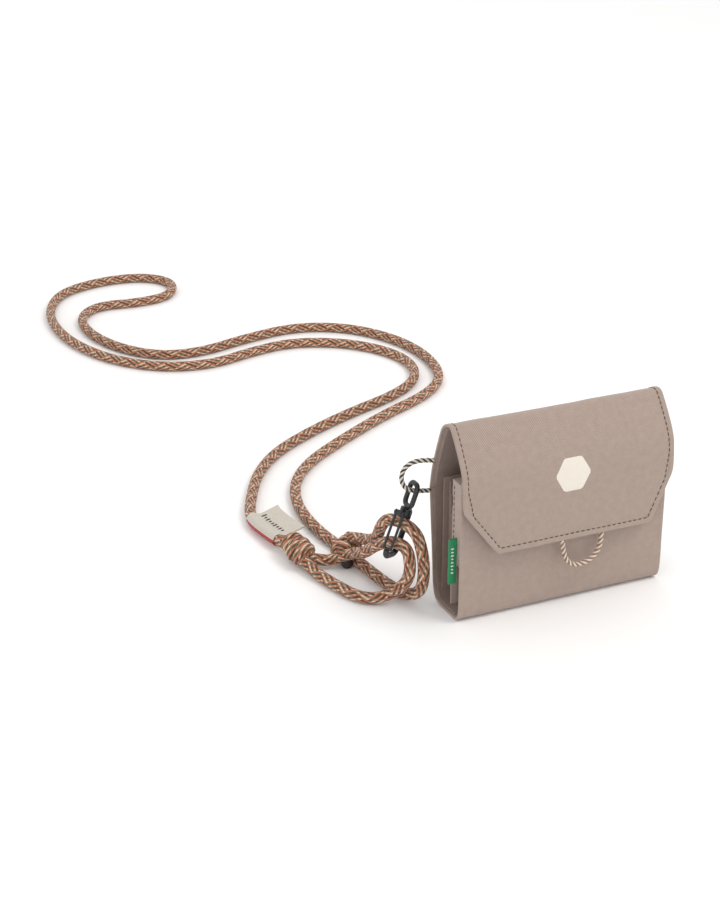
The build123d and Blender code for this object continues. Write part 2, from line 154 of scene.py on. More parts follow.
# %% Floor
floor_mesh = bpy.data.meshes.new("floor")
reach = 40.0
corners = [(-reach, -reach, 0), (reach, -reach, 0), (reach, reach, 0), (-reach, reach, 0)]
floor_mesh.from_pydata(corners, [], [(0, 1, 2, 3)])
floor = bpy.data.objects.new("floor", floor_mesh)
bpy.context.scene.collection.objects.link(floor)
white_card, tree, shader = new_material("white_card", Base_Color=linear("fbfbfb"), Roughness=0.9)
floor_mesh.materials.append(white_card)
floor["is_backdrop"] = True


# %% [markdown]
# ## Materials of the cloth
# The outside is a recycled-polyester twill: each weft yarn passes over two warp yarns and under two, one step
# aside in each row, which gives fine diagonal ridges. The real ridges are about half a millimetre apart; they
# are drawn a millimetre apart so that they show. A mélange yarn gives the cloth its faint mottling.

# %% Twill
twill_pitch = 1.0 * mm
wave_turns = 2 * math.pi / 10  # a wave texture's bands are this far apart at scale 1


def cloth_places(tree):
    """Places on the cloth in metres, from the mesh's own map."""
    return add(tree, "ShaderNodeUVMap", uv_map="cloth").outputs["UV"]


def mottled(tree, places, light, dark, size):
    """Two close shades of one yarn, mixed in soft patches of that size."""
    noise_settings = {"Vector": places, "Scale": 1 / size, "Detail": 5.0, "Roughness": 0.65}
    patches = add(tree, "ShaderNodeTexNoise", noise_settings)
    shade = add(tree, "ShaderNodeMix", {"Factor": patches.outputs["Fac"]}, data_type="RGBA")
    shade.inputs["A"].default_value = linear(dark)
    shade.inputs["B"].default_value = linear(light)
    return shade.outputs["Result"]


def darken(tree, colour, amount, factor):
    """The colour, darker where the factor is low."""
    shade = add(tree, "ShaderNodeMix", {"Factor": amount}, data_type="RGBA", blend_type="MULTIPLY")
    tree.links.new(colour, shade.inputs["A"])
    tree.links.new(factor, shade.inputs["B"])
    return shade.outputs["Result"]


def weave(name, light, dark, pitch, direction, ridge, depth, roughness=0.85, sheen=0.25):
    """A woven cloth: ridges one way, yarns across them, mottled yarn, and painted shade in the weave's hollows.
    """
    made, tree, shader = new_material(name, Roughness=roughness, Sheen_Weight=sheen, Sheen_Roughness=0.5)
    shader.inputs["Specular IOR Level"].default_value = 0.3
    places = cloth_places(tree)
    waves = {"Vector": places, "Scale": wave_turns / pitch, "Distortion": 0.6, "Detail Scale": 0.5}
    ridges = add(tree, "ShaderNodeTexWave", waves, bands_direction=direction)
    waves["Scale"] = wave_turns / (pitch * 0.62)
    yarns = add(tree, "ShaderNodeTexWave", waves, bands_direction="X")
    both = {"Factor": 1 - ridge, "A": ridges.outputs["Fac"], "B": yarns.outputs["Fac"]}
    relief = add(tree, "ShaderNodeMix", both)
    fuzz = add(tree, "ShaderNodeTexNoise", {"Vector": places, "Scale": 1 / (0.5 * mm), "Detail": 3.0})
    rise = {0: relief.outputs["Result"], 1: 0.35, 2: fuzz.outputs["Fac"]}
    height = add(tree, "ShaderNodeMath", rise, operation="MULTIPLY_ADD")
    colour = mottled(tree, places, light, dark, 3.5 * mm)
    # Painted shade: the colour is darker where the weave's relief is low, in the hollows between ridges and
    # yarns.
    colour = darken(tree, colour, 0.42, relief.outputs["Result"])
    tree.links.new(colour, shader.inputs["Base Color"])
    bump = add(tree, "ShaderNodeBump", {"Strength": 0.5, "Distance": depth, "Height": height.outputs["Value"]})
    tree.links.new(bump.outputs["Normal"], shader.inputs["Normal"])
    return made


twill = weave("polyester_twill", "c2ada1", "aa978c", twill_pitch, "DIAGONAL", 0.8, 0.3 * mm)
lining_weave = weave("plain_weave_lining", "b09a8f", "968279", 0.6 * mm, "Y", 0.5, 0.06 * mm, 0.8)
tape_weave = weave("woven_edge_tape", "917c72", "7b6860", 0.8 * mm, "Y", 0.7, 0.1 * mm)
zip_weave = weave("woven_zip_tape", "857269", "6d5d57", 0.7 * mm, "Y", 0.8, 0.08 * mm)
green_satin = weave("woven_satin_green", "2f9d66", "288a58", 0.4 * mm, "Y", 0.8, 0.03 * mm, 0.55, 0.1)
cream_satin = weave("woven_satin_cream", "e2dbce", "d2c9bb", 0.4 * mm, "Y", 0.8, 0.03 * mm, 0.6, 0.1)
red_satin = weave("woven_satin_red", "c23a3c", "a82c30", 0.4 * mm, "Y", 0.8, 0.03 * mm, 0.6, 0.1)
print("cloth materials", [m.name for m in (twill, lining_weave, tape_weave, zip_weave)])

# %% [markdown]
# Sewing thread is a spun polyester, three plies twisted. On so thin a thing the eye sees only its colour and a
# slight gloss, so its pattern is a fine noise along its own object.


# %% Thread, print and pile
def fine_material(name, light, dark, size, depth, **values):
    """A material with a fine grain of that size, from the piece's own coordinates."""
    made, tree, shader = new_material(name, **values)
    places = add(tree, "ShaderNodeTexCoord").outputs["Object"]
    colour = mottled(tree, places, light, dark, size)
    tree.links.new(colour, shader.inputs["Base Color"])
    grain = add(tree, "ShaderNodeTexNoise", {"Vector": places, "Scale": 1 / (size * 0.4), "Detail": 4.0})
    bump = add(tree, "ShaderNodeBump", {"Strength": 0.4, "Distance": depth, "Height": grain.outputs["Fac"]})
    tree.links.new(bump.outputs["Normal"], shader.inputs["Normal"])
    return made


thread = fine_material("spun_polyester_thread", "604b41", "4a382f", 0.4 * mm, 0.05 * mm, Roughness=0.7)
green_thread = fine_material("green_thread", "1c7a49", "176a3f", 0.4 * mm, 0.05 * mm, Roughness=0.7)
white_thread = fine_material("white_label_yarn", "f2f0ea", "dedbd2", 0.4 * mm, 0.05 * mm, Roughness=0.6)
dark_thread = fine_material("dark_label_yarn", "3a3532", "2a2624", 0.4 * mm, 0.05 * mm, Roughness=0.6)
pile = fine_material("nylon_hook_and_loop", "6d5f58", "54483f", 0.6 * mm, 0.2 * mm, Roughness=0.9)
film = fine_material("screen_print_ink", "e9e2d7", "ded6ca", 1.0 * mm, 0.04 * mm, Roughness=0.55)
moulded = fine_material("moulded_acetal_teeth", "4e423c", "43372f", 2.0 * mm, 0.02 * mm, Roughness=0.45)
paint = fine_material("satin_black_painted_zinc", "2b2c2e", "1e1f21", 1.2 * mm, 0.03 * mm, Roughness=0.38)
# Painted shade: the stub's tip lies in shade under the crossing strands, so it gets this dark colour.
stub_tip_painted_shade = fine_material("cord_tip_painted_shade", "3d2c24", "241a16", 1.5 * mm, 0.2 * mm, Roughness=0.4)
twist_cream = fine_material("twisted_cream_yarn", "e4dccf", "c9beaf", 0.5 * mm, 0.1 * mm, Roughness=0.8)
twist_grey = fine_material("twisted_grey_yarn", "4c4a48", "33312f", 0.5 * mm, 0.1 * mm, Roughness=0.8)
twist_brown = fine_material("twisted_brown_yarn", "a5806a", "7f5f4e", 0.5 * mm, 0.1 * mm, Roughness=0.8)
print("fine materials", len(bpy.data.materials), "so far")


# %% [markdown]
# ## The neck cord's braid
# Accessory cord has a core inside a sheath braided from thirty bobbins of nylon, fifteen going round each way.
# The yarns are salmon, rust, brown, sand and grey-green, so the sheath shows a repeating fleck of long
# diamonds. The map on the tube counts places round it and along it. Two slanted counts number the strands of
# each way. At each crossing one strand or the other is on top, by turns, and shows its own yarn.

# %% Braid
neck_diameter = 5.8 * mm
braid_strands = 15
braid_step = 2.0 * math.pi * neck_diameter / braid_strands  # one crossing's step along the cord
bobbins_one_way = ["c9805c", "e3c3a2", "6e4a39", "d69a7a", "5f5a4a"]  # each is wound on three bobbins
bobbins_other_way = ["574035", "b8704f", "e8cdb0", "7b745d", "c58263"]


def braid_material():
    """A sheath of two families of strands, each crossing a soft ridge with its own colour of yarn."""
    made, tree, shader = new_material("braided_nylon_sheath", Roughness=0.66, Sheen_Weight=0.15)
    shader.inputs["Specular IOR Level"].default_value = 0.35
    around_along = add(tree, "ShaderNodeSeparateXYZ", {"Vector": cloth_places(tree)})
    around = add(
        tree, "ShaderNodeMath", {0: around_along.outputs["X"], 1: float(braid_strands)}, operation="MULTIPLY"
    )
    along = add(tree, "ShaderNodeMath", {0: around_along.outputs["Y"], 1: 1 / braid_step}, operation="MULTIPLY")
    numbers, ridges, yarns = [], [], []
    for way, colours in (("ADD", bobbins_one_way), ("SUBTRACT", bobbins_other_way)):
        slanted = {0: around.outputs["Value"], 1: along.outputs["Value"]}
        count = add(tree, "ShaderNodeMath", slanted, operation=way)
        numbers.append(add(tree, "ShaderNodeMath", {0: count.outputs["Value"]}, operation="FLOOR"))
        across = add(tree, "ShaderNodeMath", {0: count.outputs["Value"], 1: math.pi}, operation="MULTIPLY")
        wave = add(tree, "ShaderNodeMath", {0: across.outputs["Value"]}, operation="SINE")
        ridges.append(add(tree, "ShaderNodeMath", {0: wave.outputs["Value"]}, operation="ABSOLUTE"))
        share = {0: numbers[-1].outputs["Value"], 1: 1 / len(colours), 2: 0.5 / len(colours)}
        turn_of = add(tree, "ShaderNodeMath", share, operation="MULTIPLY_ADD")
        bobbin = add(tree, "ShaderNodeMath", {0: turn_of.outputs["Value"]}, operation="FRACT")
        wound = add(tree, "ShaderNodeValToRGB", {"Fac": bobbin.outputs["Value"]})
        wound.color_ramp.interpolation = "CONSTANT"
        points = wound.color_ramp.elements
        while len(points) < len(colours):
            points.new(0.5)
        for i, colour in enumerate(colours):
            points[i].position, points[i].color = i / len(colours), linear(colour)
        yarns.append(wound)
    crossing = add(tree, "ShaderNodeMath", {0: numbers[0].outputs["Value"], 1: numbers[1].outputs["Value"]})
    half = add(tree, "ShaderNodeMath", {0: crossing.outputs["Value"], 1: 0.5}, operation="MULTIPLY")
    odd = add(tree, "ShaderNodeMath", {0: half.outputs["Value"]}, operation="FRACT")
    on_top = add(tree, "ShaderNodeMath", {0: odd.outputs["Value"], 1: 0.25}, operation="GREATER_THAN")
    shown = add(tree, "ShaderNodeMix", {"Factor": on_top.outputs["Value"]}, data_type="RGBA")
    tree.links.new(yarns[0].outputs["Color"], shown.inputs["A"])
    tree.links.new(yarns[1].outputs["Color"], shown.inputs["B"])
    both = {0: ridges[0].outputs["Value"], 1: ridges[1].outputs["Value"]}
    pillow = add(tree, "ShaderNodeMath", both, operation="MULTIPLY")
    rounded = add(tree, "ShaderNodeMath", {0: pillow.outputs["Value"], 1: 0.5}, operation="POWER")
    valley = add(tree, "ShaderNodeMapRange", {"Value": rounded.outputs["Value"], "To Min": 0.5, "To Max": 1.0})
    shaded = darken(tree, shown.outputs["Result"], 1.0, valley.outputs["Result"])
    tree.links.new(shaded, shader.inputs["Base Color"])
    swell = {"Strength": 0.8, "Distance": 0.3 * mm, "Height": rounded.outputs["Value"]}
    bump = add(tree, "ShaderNodeBump", swell)
    tree.links.new(bump.outputs["Normal"], shader.inputs["Normal"])
    return made


sheath = braid_material()
print("braid step", round(braid_step / mm, 2), "mm")


# %% [markdown]
# ## Cords
# A cord is a line that something round follows. The line is a NURBS spline through a few route points, which
# makes it as smooth as a real cord. The tube, the strands and the wraps of a knot all follow points read back
# from that spline.

# %% A cord's line
def spline_line(name, route, detail=14):
    """The points of a NURBS spline that has the route's points, in metres, as its control points."""
    data = bpy.data.curves.new(name, "CURVE")
    data.dimensions = "3D"
    data.resolution_u = detail
    spline = data.splines.new("NURBS")
    spline.points.add(len(route) - 1)
    for point, place in zip(spline.points, route):
        point.co = (*place, 1.0)
    spline.order_u = 3
    spline.use_endpoint_u = True
    holder = bpy.data.objects.new(name, data)
    bpy.context.scene.collection.objects.link(holder)
    bpy.context.view_layer.update()
    mesh = bpy.data.meshes.new_from_object(holder.evaluated_get(bpy.context.evaluated_depsgraph_get()))
    line = np.array([v.co for v in mesh.vertices], float)
    bpy.data.objects.remove(holder)
    bpy.data.meshes.remove(mesh)
    return line


def travel_along(line):
    """The distance along the line at each of its points."""
    return np.concatenate([[0], np.cumsum(np.linalg.norm(np.diff(line, axis=0), axis=1))])


def evenly(line, step):
    """The same line with its points an even step apart, and its length."""
    travel = travel_along(line)
    count = max(2, int(round(travel[-1] / step)) + 1)
    wanted = np.linspace(0, travel[-1], count)
    return np.stack([np.interp(wanted, travel, line[:, i]) for i in range(3)], axis=1), travel[-1]


def frames_along(line):
    """A pair of unit vectors across the line at each point, which never twist."""
    ways = np.gradient(line, axis=0)
    ways /= np.linalg.norm(ways, axis=1)[:, None]
    first = np.cross(ways[0], [0.0, 0.0, 1.0])
    if np.linalg.norm(first) < 0.1:
        first = np.cross(ways[0], [1.0, 0.0, 0.0])
    across = [first / np.linalg.norm(first)]
    for way in ways[1:]:
        moved = across[-1] - way * np.dot(across[-1], way)
        across.append(moved / np.linalg.norm(moved))
    across = np.array(across)
    return across, np.cross(ways, across)


# %% Mesh from a grid of points
def new_piece(name, mesh, materials):
    """An object with that mesh and those materials, in the scene."""
    for material in materials:
        mesh.materials.append(material)
    made = bpy.data.objects.new(name, mesh)
    bpy.context.scene.collection.objects.link(made)
    return made


def tube_parts(line, radius, sides, relief=0.0, tips=True):
    """Points, faces and face maps of a round tube along a line. Relief raises the braid's strands."""
    across, over = frames_along(line)
    travel = travel_along(line)
    rings, around = len(line), np.arange(sides) / sides
    heights = np.full((rings, sides), radius)
    if relief:
        a = around[None, :] * braid_strands + travel[:, None] / braid_step
        b = around[None, :] * braid_strands - travel[:, None] / braid_step
        heights += relief * (np.sqrt(np.abs(np.sin(math.pi * a) * np.sin(math.pi * b))) - 0.7)
    turns = 2 * math.pi * around[None, :, None]
    out = np.cos(turns) * across[:, None, :] + np.sin(turns) * over[:, None, :]
    places = list((line[:, None, :] + heights[..., None] * out).reshape(-1, 3))
    ring, spoke = (grid.ravel() for grid in np.meshgrid(np.arange(rings - 1), np.arange(sides), indexing="ij"))
    after = (spoke + 1) % sides
    here, there = ring * sides, (ring + 1) * sides
    corners = [here + spoke, here + after, there + after, there + spoke]
    faces = [tuple(face) for face in np.stack(corners, axis=1).tolist()]
    u, v = (spoke / sides, (spoke + 1) / sides), (travel[ring], travel[ring + 1])
    maps = np.stack([u[0], v[0], u[1], v[0], u[1], v[1], u[0], v[1]], axis=1).reshape(-1, 4, 2).tolist()
    if tips:
        for end, ring in ((0, 0), (-1, len(line) - 1)):
            way = line[0] - line[1] if end == 0 else line[-1] - line[-2]
            tip = line[end] + way / np.linalg.norm(way) * radius * 0.45
            places.append(tip)
            for k in range(sides):
                pair = (ring * sides + k, ring * sides + (k + 1) % sides)
                pair = pair[::-1] if end == 0 else pair
                faces.append((*pair, len(places) - 1))
                maps.append(((0, 0), (0.1, 0), (0.05, 0.1 * mm)))
    return places, faces, maps


def mapped_mesh(name, places, faces, maps, material_of=None):
    """A smooth mesh with a map named cloth."""
    mesh = bpy.data.meshes.new(name)
    mesh.from_pydata([tuple(p) for p in places], [], faces)
    layer = mesh.uv_layers.new(name="cloth")
    layer.data.foreach_set("uv", np.array([uv for face in maps for uv in face], np.float32).ravel())
    mesh.polygons.foreach_set("use_smooth", [True] * len(faces))
    if material_of:
        mesh.polygons.foreach_set("material_index", material_of)
    mesh.update()
    return mesh


def close_up(mesh, distance):
    """Joins points that lie within that distance, and turns every face outwards."""
    work = bmesh.new()
    work.from_mesh(mesh)
    bmesh.ops.remove_doubles(work, verts=work.verts, dist=distance)
    bmesh.ops.recalc_face_normals(work, faces=work.faces)
    work.to_mesh(mesh)
    work.free()


# %% [markdown]
# ## The long neck cord, its tail and its eye
# The cord is one length. It leaves the snap hook, goes down to the floor and runs out and back in loose curves.
# One end is tied round the other with an overhand knot, and its tail comes back to the hook. The other end
# makes an eye through the hook with a second knot. So three stretches are built, which meet at the knots.

# %% Routes of the neck cord, in millimetres
on_floor = 3.0
hook_point = (-69, 13, 42)
neck_route = [
    hook_point, (-65.5, 7.7, 40.7), (-63.2, 4.6, 31), (-62.2, 4, 19), (-63, 5.6, 8.4), (-66.4, 14.5, on_floor),
    (-70.4, 30, on_floor), (-72.6, 49, on_floor), (-74.8, 70, on_floor), (-78.5, 94, on_floor),
    (-77.5, 122, on_floor), (-69, 148, on_floor), (-52, 170, on_floor), (-22, 191, on_floor),
    (14, 213, on_floor), (48, 229, on_floor), (69, 250, on_floor), (76, 285, on_floor), (70, 320, on_floor),
    (50, 350, on_floor), (20, 364, on_floor), (-16, 358, on_floor), (-50, 347, on_floor),
    (-76, 352, on_floor), (-95, 376, on_floor), (-104, 408, on_floor), (-101, 437, on_floor),
    (-84, 453, on_floor), (-58, 448, on_floor), (-34, 452, on_floor), (-23, 476, on_floor),
    (-38, 496, on_floor), (-68, 499, on_floor), (-100, 487, on_floor), (-117, 455, on_floor),
    (-121, 418, on_floor), (-115, 382, on_floor), (-100, 352, on_floor), (-76, 331, on_floor),
    (-48, 326, on_floor), (-22, 335, on_floor), (8, 340, on_floor), (38, 326, on_floor),
    (57, 302, on_floor), (62, 276, on_floor), (52, 252, on_floor), (30, 236, on_floor), (-4, 223, on_floor),
    (-38, 206, on_floor), (-65, 188, on_floor), (-83, 166, on_floor), (-95, 143, on_floor),
    (-104.6, 121, 3.6), (-103.4, 100, 3.9), (-100, 79, 5.6),
]  # fmt: skip
tail_route = [
    hook_point, (-72.8, 18.75, 43.4), (-74.4, 25.5, 37), (-72.4, 34, 26), (-71, 45, 18.6),
    (-71.4, 56, 14.6), (-74, 65, 11.6),
]  # fmt: skip
eye_route = [
    (-95, 63.5, 5.4), (-87.5, 60, 3.4), (-80.5, 57, 6.4), (-77.2, 50.5, 10.6), (-77.6, 38, 16.4),
    (-76, 26, 26.8), (-72.4, 15.2, 32.6), (-68.6, 8, 31), (-68.2, 6.2, 20.4), (-69, 9.6, 12.2),
    (-74, 14.8, 5.4), (-81.5, 17.2, on_floor), (-88.5, 23.5, on_floor), (-93, 38, on_floor),
    (-96.6, 52, on_floor), (-98.6, 64, 5.4),
]  # fmt: skip


def metres(route):
    """Route points in metres."""
    return [tuple(v * mm for v in point) for point in route]


# %% Braided tubes
def braided_tube(name, route, sides=45, step=0.65):
    """A braided cord along a route in millimetres, and the points that it follows."""
    line, length = evenly(spline_line(name, metres(route)), step * mm)
    places, faces, maps = tube_parts(line, neck_diameter / 2 - 0.05 * mm, sides, relief=0.14 * mm)
    made = new_piece(name, mapped_mesh(name, places, faces, maps), [sheath])
    print(name, "length", round(length / mm, 1), "mm")
    return made, line


neck_cord, neck_line = braided_tube("braided_neck_cord", neck_route)
neck_tail, tail_line = braided_tube("braided_cord_tail", tail_route)
neck_eye, eye_line = braided_tube("braided_cord_eye", eye_route)

# %% [markdown]
# ## Knots
# Each knot is the cord wrapped round itself and pulled tight, so it shows two or three slanted turns side by
# side. The wraps are more of the same braided tube, on a helix as wide as the cord that it holds.


# %% Knots from wraps of the cord
def knot(name, node, way, turns, lean=0.0, start=0.0, size=(1.0, 1.0)):
    """Wraps of the cord that fill a CAD knot's place, along the knot's own direction."""
    low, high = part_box(node)
    centre = np.array((low + high) / 2)
    way = np.array(Vector(way).normalized())
    side = np.cross(way, [0, 0, 1.0])
    side /= np.linalg.norm(side)
    up = np.cross(side, way)
    long = max(high - low) * 0.96 * size[0]
    thick = (high - low).z * size[1]
    centre[2] -= (high.z - low.z) * (1 - size[1]) / 2
    wrap = thick / 2 - neck_diameter / 2
    room = long - neck_diameter
    per_turn = 10
    count = int(turns * per_turn)
    route = []
    for i in range(-2, count + 3):
        share = min(max(i / count, 0.0), 1.0)
        angle = start + 2 * math.pi * i / per_turn
        radius = wrap * (1.0 if 0 <= i <= count else 0.35)
        radius *= 1.0 - 0.18 * abs(2 * share - 1) ** 3
        forward = (share - 0.5) * room + lean * wrap * math.cos(angle)
        route.append(centre + way * forward + radius * (math.cos(angle) * side + math.sin(angle) * up))
    line, _ = evenly(spline_line(name, route), 0.6 * mm)
    places, faces, maps = tube_parts(line, neck_diameter / 2 - 0.05 * mm, 45, relief=0.14 * mm)
    made = new_piece(name, mapped_mesh(name, places, faces, maps), [sheath])
    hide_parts(node)
    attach(made, "root")
    return made


eye_wraps = knot("overhand_knot_of_eye", "eye_knot", (0.15, -1, 0), 2.4, lean=0.35)
tail_wraps = knot("overhand_knot_of_tail", "tail_knot", (0.75, 0.62, 0), 1.6, 0.45, 1.2, size=(0.85, 0.88))
print("knots", eye_wraps.name, tail_wraps.name)

# %% Stub of the cord's end, with painted shade at its tip
stub_route = [(-74.5, 63, 7.5), (-77.4, 60.2, 4.4), (-78.6, 57.2, 3.2), (-79.0, 54.6, 3.05)]
stub_line, _ = evenly(spline_line("cord_stub", metres(stub_route)), 0.6 * mm)
places, faces, maps = tube_parts(stub_line, neck_diameter / 2 - 0.1 * mm, 45, relief=0.14 * mm)
stub = new_piece("cord_stub", mapped_mesh("cord_stub", places, faces, maps), [sheath, stub_tip_painted_shade])
shaded_tip = Vector(stub_line[-1])
shaded_tip_length = 3.6 * mm
# Faces near the stub's tip take the dark colour, which is painted shade.
for face in stub.data.polygons:
    if (face.center - shaded_tip).length < shaded_tip_length:
        face.material_index = 1
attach(stub, "root")

# %% [markdown]
# ## How a piece of cloth is built
# Every cloth piece here is a sheet that follows a line, such as the wallet's back, top and flap seen from the
# side, and reaches sideways from it. It has an outer and an inner face, and its edges are rounded like folded
# cloth. Near its edges the hem stands a little proud, and the line of stitches pulls a groove into it. Soft
# noise gives the slight waves that sewn cloth has. The sheet's map is in metres, so that the weave keeps its
# size on every piece.

# %% Cloth sheets
edge_steps = (0.0, 0.06, 0.2, 0.45, 0.8, 1.3, 1.8, 2.2, 2.45, 2.7, 2.95, 3.2, 3.5, 4.0, 4.8, 6.0)
stitch_inset = 2.8  # millimetres from the edge to the line of stitches


def soften(line, rounds=3):
    """The line with its corners cut again and again, which makes them round."""
    line = np.array(line, float)
    for _ in range(rounds):
        a, b = line[:-1], line[1:]
        cut = np.stack([a * 0.75 + b * 0.25, a * 0.25 + b * 0.75], axis=1).reshape(-1, line.shape[1])
        line = np.concatenate([line[:1], cut, line[-1:]])
    return line


class Cloth:
    """A sheet that follows a line. A place on it is how far to the side and how far down, in metres."""

    def __init__(
        self, line, across, left, right, thickness, inset=0.0, hem=0.0, groove=0.0, waves=0.0, seed=0.0
    ):  # fmt: skip
        self.line = np.array(line, float)
        self.across = np.array(across, float)
        self.travel = travel_along(self.line)
        self.length = self.travel[-1]
        ways = np.gradient(self.line, axis=0)
        ways /= np.linalg.norm(ways, axis=1)[:, None]
        self.normals = np.cross(ways, self.across)
        edges = [[(0.0, x), (self.length, x)] if np.isscalar(x) else x for x in (left, right)]
        self.sides = [np.array(edge) for edge in edges]
        self.thickness, self.inset = thickness, inset
        self.hem, self.groove, self.waves, self.seed = hem, groove, waves, seed

    def side(self, which, down):
        """How far to the side the left (0) or right (1) edge is there."""
        return float(np.interp(down, self.sides[which][:, 0], self.sides[which][:, 1]))

    def lean(self, which, down):
        """How much longer a step across a slanted edge is, seen along the sheet's width."""
        step = 0.4 * mm
        slope = (self.side(which, down + step) - self.side(which, down - step)) / (2 * step)
        return min(math.sqrt(1 + slope * slope), 1.7)

    def to_edge(self, side, down):
        """Distance to the nearest edge of the sheet."""
        left = (side - self.side(0, down)) / self.lean(0, down)
        right = (self.side(1, down) - side) / self.lean(1, down)
        return max(0.0, min(left, right, down, self.length - down))

    def relief(self, side, down):
        """How far the cloth stands proud there."""
        edge = self.to_edge(side, down) / mm
        proud = self.hem * (1 - min(max((edge - stitch_inset + 0.5) / 1.5, 0.0), 1.0)) if self.hem else 0.0
        pull = 0.75 + 0.25 * math.cos(2 * math.pi * (side + down) / (3.1 * mm))
        proud -= self.groove * pull * math.exp(-(((edge - stitch_inset) / 0.5) ** 2))
        if self.waves:
            place = Vector((side * 38, down * 46, self.seed))
            calm = min(edge / 5, 1.0) * 0.6 + 0.4
            proud += self.waves * calm * (noise.noise(place) + 0.45 * noise.noise(place * 2.7))
        return proud

    def place(self, side, down, lift=0.0):
        """The point of the outer face there, raised by lift."""
        point = np.array([np.interp(down, self.travel, self.line[:, i]) for i in range(3)])
        normal = np.array([np.interp(down, self.travel, self.normals[:, i]) for i in range(3)])
        normal /= np.linalg.norm(normal)
        rise = self.relief(side, down) - self.inset + lift
        return point + self.across * side + normal * rise

    def normal(self, down):
        """The outward direction at that distance down the line."""
        normal = np.array([np.interp(down, self.travel, self.normals[:, i]) for i in range(3)])
        return normal / np.linalg.norm(normal)

    def steps(self, length, spacing, fine=True):
        """Distances from one edge to the other, close together at both edges."""
        near = [s * mm for s in edge_steps if s * mm < length * 0.45] if fine else [0.0, 0.06 * mm, 0.2 * mm]
        rest = length - 2 * near[-1]
        count = max(1, int(round(rest / spacing)))
        middle = [near[-1] + rest * i / count for i in range(1, count)]
        return near + middle + [length - s for s in reversed(near)]

    def build(self, name, materials, spacing=1.5 * mm):
        """The closed sheet as an object."""
        rows = self.steps(self.length, spacing)
        width = max(self.side(1, d) - self.side(0, d) for d in rows)
        offsets = self.steps(width, spacing)
        near = min(edge_steps[-1] * mm, width * 0.45)
        places, faces, maps = [], [], []
        radius = self.thickness / 2
        for face_side in (0, 1):
            for down in rows:
                left, right = self.side(0, down), self.side(1, down)
                stops = [left, left + near * self.lean(0, down), right - near * self.lean(1, down), right]
                for offset in offsets:
                    side = float(np.interp(offset, [0.0, near, width - near, width], stops))
                    edge = self.to_edge(side, down)
                    drop = radius - math.sqrt(radius**2 - (radius - edge) ** 2) if edge < radius else 0.0
                    lift = -drop if face_side == 0 else drop - self.thickness
                    places.append(self.place(side, down, lift))
                    maps.append((side + self.seed * 0.01, down))
        columns, count = len(offsets), len(rows)
        face_maps = []
        for face_side in (0, 1):
            base = face_side * columns * count
            for i in range(count - 1):
                for k in range(columns - 1):
                    a = base + i * columns + k
                    quad = (a, a + 1, a + columns + 1, a + columns)
                    faces.append(quad if face_side == 0 else quad[::-1])
                    face_maps.append([maps[v] for v in faces[-1]])
        mesh = mapped_mesh(name, places, faces, face_maps)
        close_up(mesh, 0.002 * mm)
        return new_piece(name, mesh, materials)


# %% Stitches
def stitches(name, cloth, run, material=thread, long=2.0, gap=0.8, thick=0.5, lift=0.12):
    """A row of lockstitches along a run of places on a cloth: each shows as a short bead of thread."""
    path = [np.array(p, float) for p in run]
    marks = []
    for a, b in zip(path, path[1:]):
        count = max(1, int(round(np.linalg.norm(b - a) / ((long + gap) * mm))))
        for i in range(count):
            step = (b - a) / count
            start = a + step * (i + 0.5) - step / np.linalg.norm(step) * long / 2 * mm
            marks.append((start, start + step / np.linalg.norm(step) * long * mm))
    bead_shape = ((0, 0.45, -0.3), (0.12, 0.85, 0.0), (0.5, 1, 1), (0.88, 0.85, 0.0), (1, 0.45, -0.3))
    places, faces, maps = [], [], []
    sides = 6
    for start, end in marks:
        first = len(places)
        normal = cloth.normal((start[1] + end[1]) / 2)
        way = cloth.place(*end) - cloth.place(*start)
        across = np.cross(normal, way)
        across /= np.linalg.norm(across)
        for share, size, rise in bead_shape:
            spot = cloth.place(*(start + (end - start) * share), lift=rise * lift * mm)
            for k in range(sides):
                angle = 2 * math.pi * k / sides
                turn_out = math.cos(angle) * across + math.sin(angle) * normal
                places.append(spot + turn_out * thick / 2 * size * mm)
        for ring in range(4):
            for k in range(sides):
                a, b = first + ring * sides + k, first + ring * sides + (k + 1) % sides
                faces.append((a, b, b + sides, a + sides))
                maps.append(((0, 0),) * 4)
        faces.append(tuple(first + k for k in reversed(range(sides))))
        faces.append(tuple(first + 4 * sides + k for k in range(sides)))
        maps += [((0, 0),) * sides] * 2
    return new_piece(name, mapped_mesh(name, places, faces, maps), [material])


def rides(piece, body, slot_name, *replaced):
    """The piece moves with that body and stands for those CAD nodes. slot_name is not used."""
    if replaced:
        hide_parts(*replaced)
    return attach(piece, body)


# %% [markdown]
# ## Outer cloth
# One length of twill makes the wallet's outside. It is built in two parts that meet at the crease across the
# back: the upper part goes over the top and becomes the flap, and the lower part goes under the base and up the
# front. Each bends where its fold is.

# %% Lines and outline of the outer cloth, in millimetres (y, z)
back_low, back_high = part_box("back_shell")
flap_low, flap_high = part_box("flap_shell")
front_low, front_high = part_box("front_shell")
top, bottom = flap_high.z / mm, flap_low.z / mm
front_y, flap_y = front_low.y / mm, flap_low.y / mm
crease = (17.0, 56.0)
upper_line = [
    crease, (14.5, 67), (9.8, 79), (5.9, 88), (3.9, 91.8), (0, 94.6), (-4.4, top), (-7.2, 92.5), (-12.4, 85.5),
    (-16.6, 79), (-18.8, 73), (-19.6, 56), (flap_y, bottom),
]  # fmt: skip
lower_line = [
    (front_y, front_high.z / mm), (front_y, 20), (front_y, 4.2), (-13.2, 0.9), (-9.5, 0), (7, 0), (11.5, 4),
    (13, 20), (15.5, 42), crease,
]  # fmt: skip


def side_line(points):
    """A line in the wallet's side view, as points in metres."""
    return soften([(0, y * mm, z * mm) for y, z in points])


def down_to(line, height, front=True):
    """How far down the line it reaches that height, on its last run or its first."""
    travel = travel_along(line)
    order = range(len(line) - 1, -1, -1) if front else range(len(line))
    for i in order:
        if (line[i][2] > height * mm) if front else (line[i][2] < height * mm):
            return travel[i]
    return travel[-1]


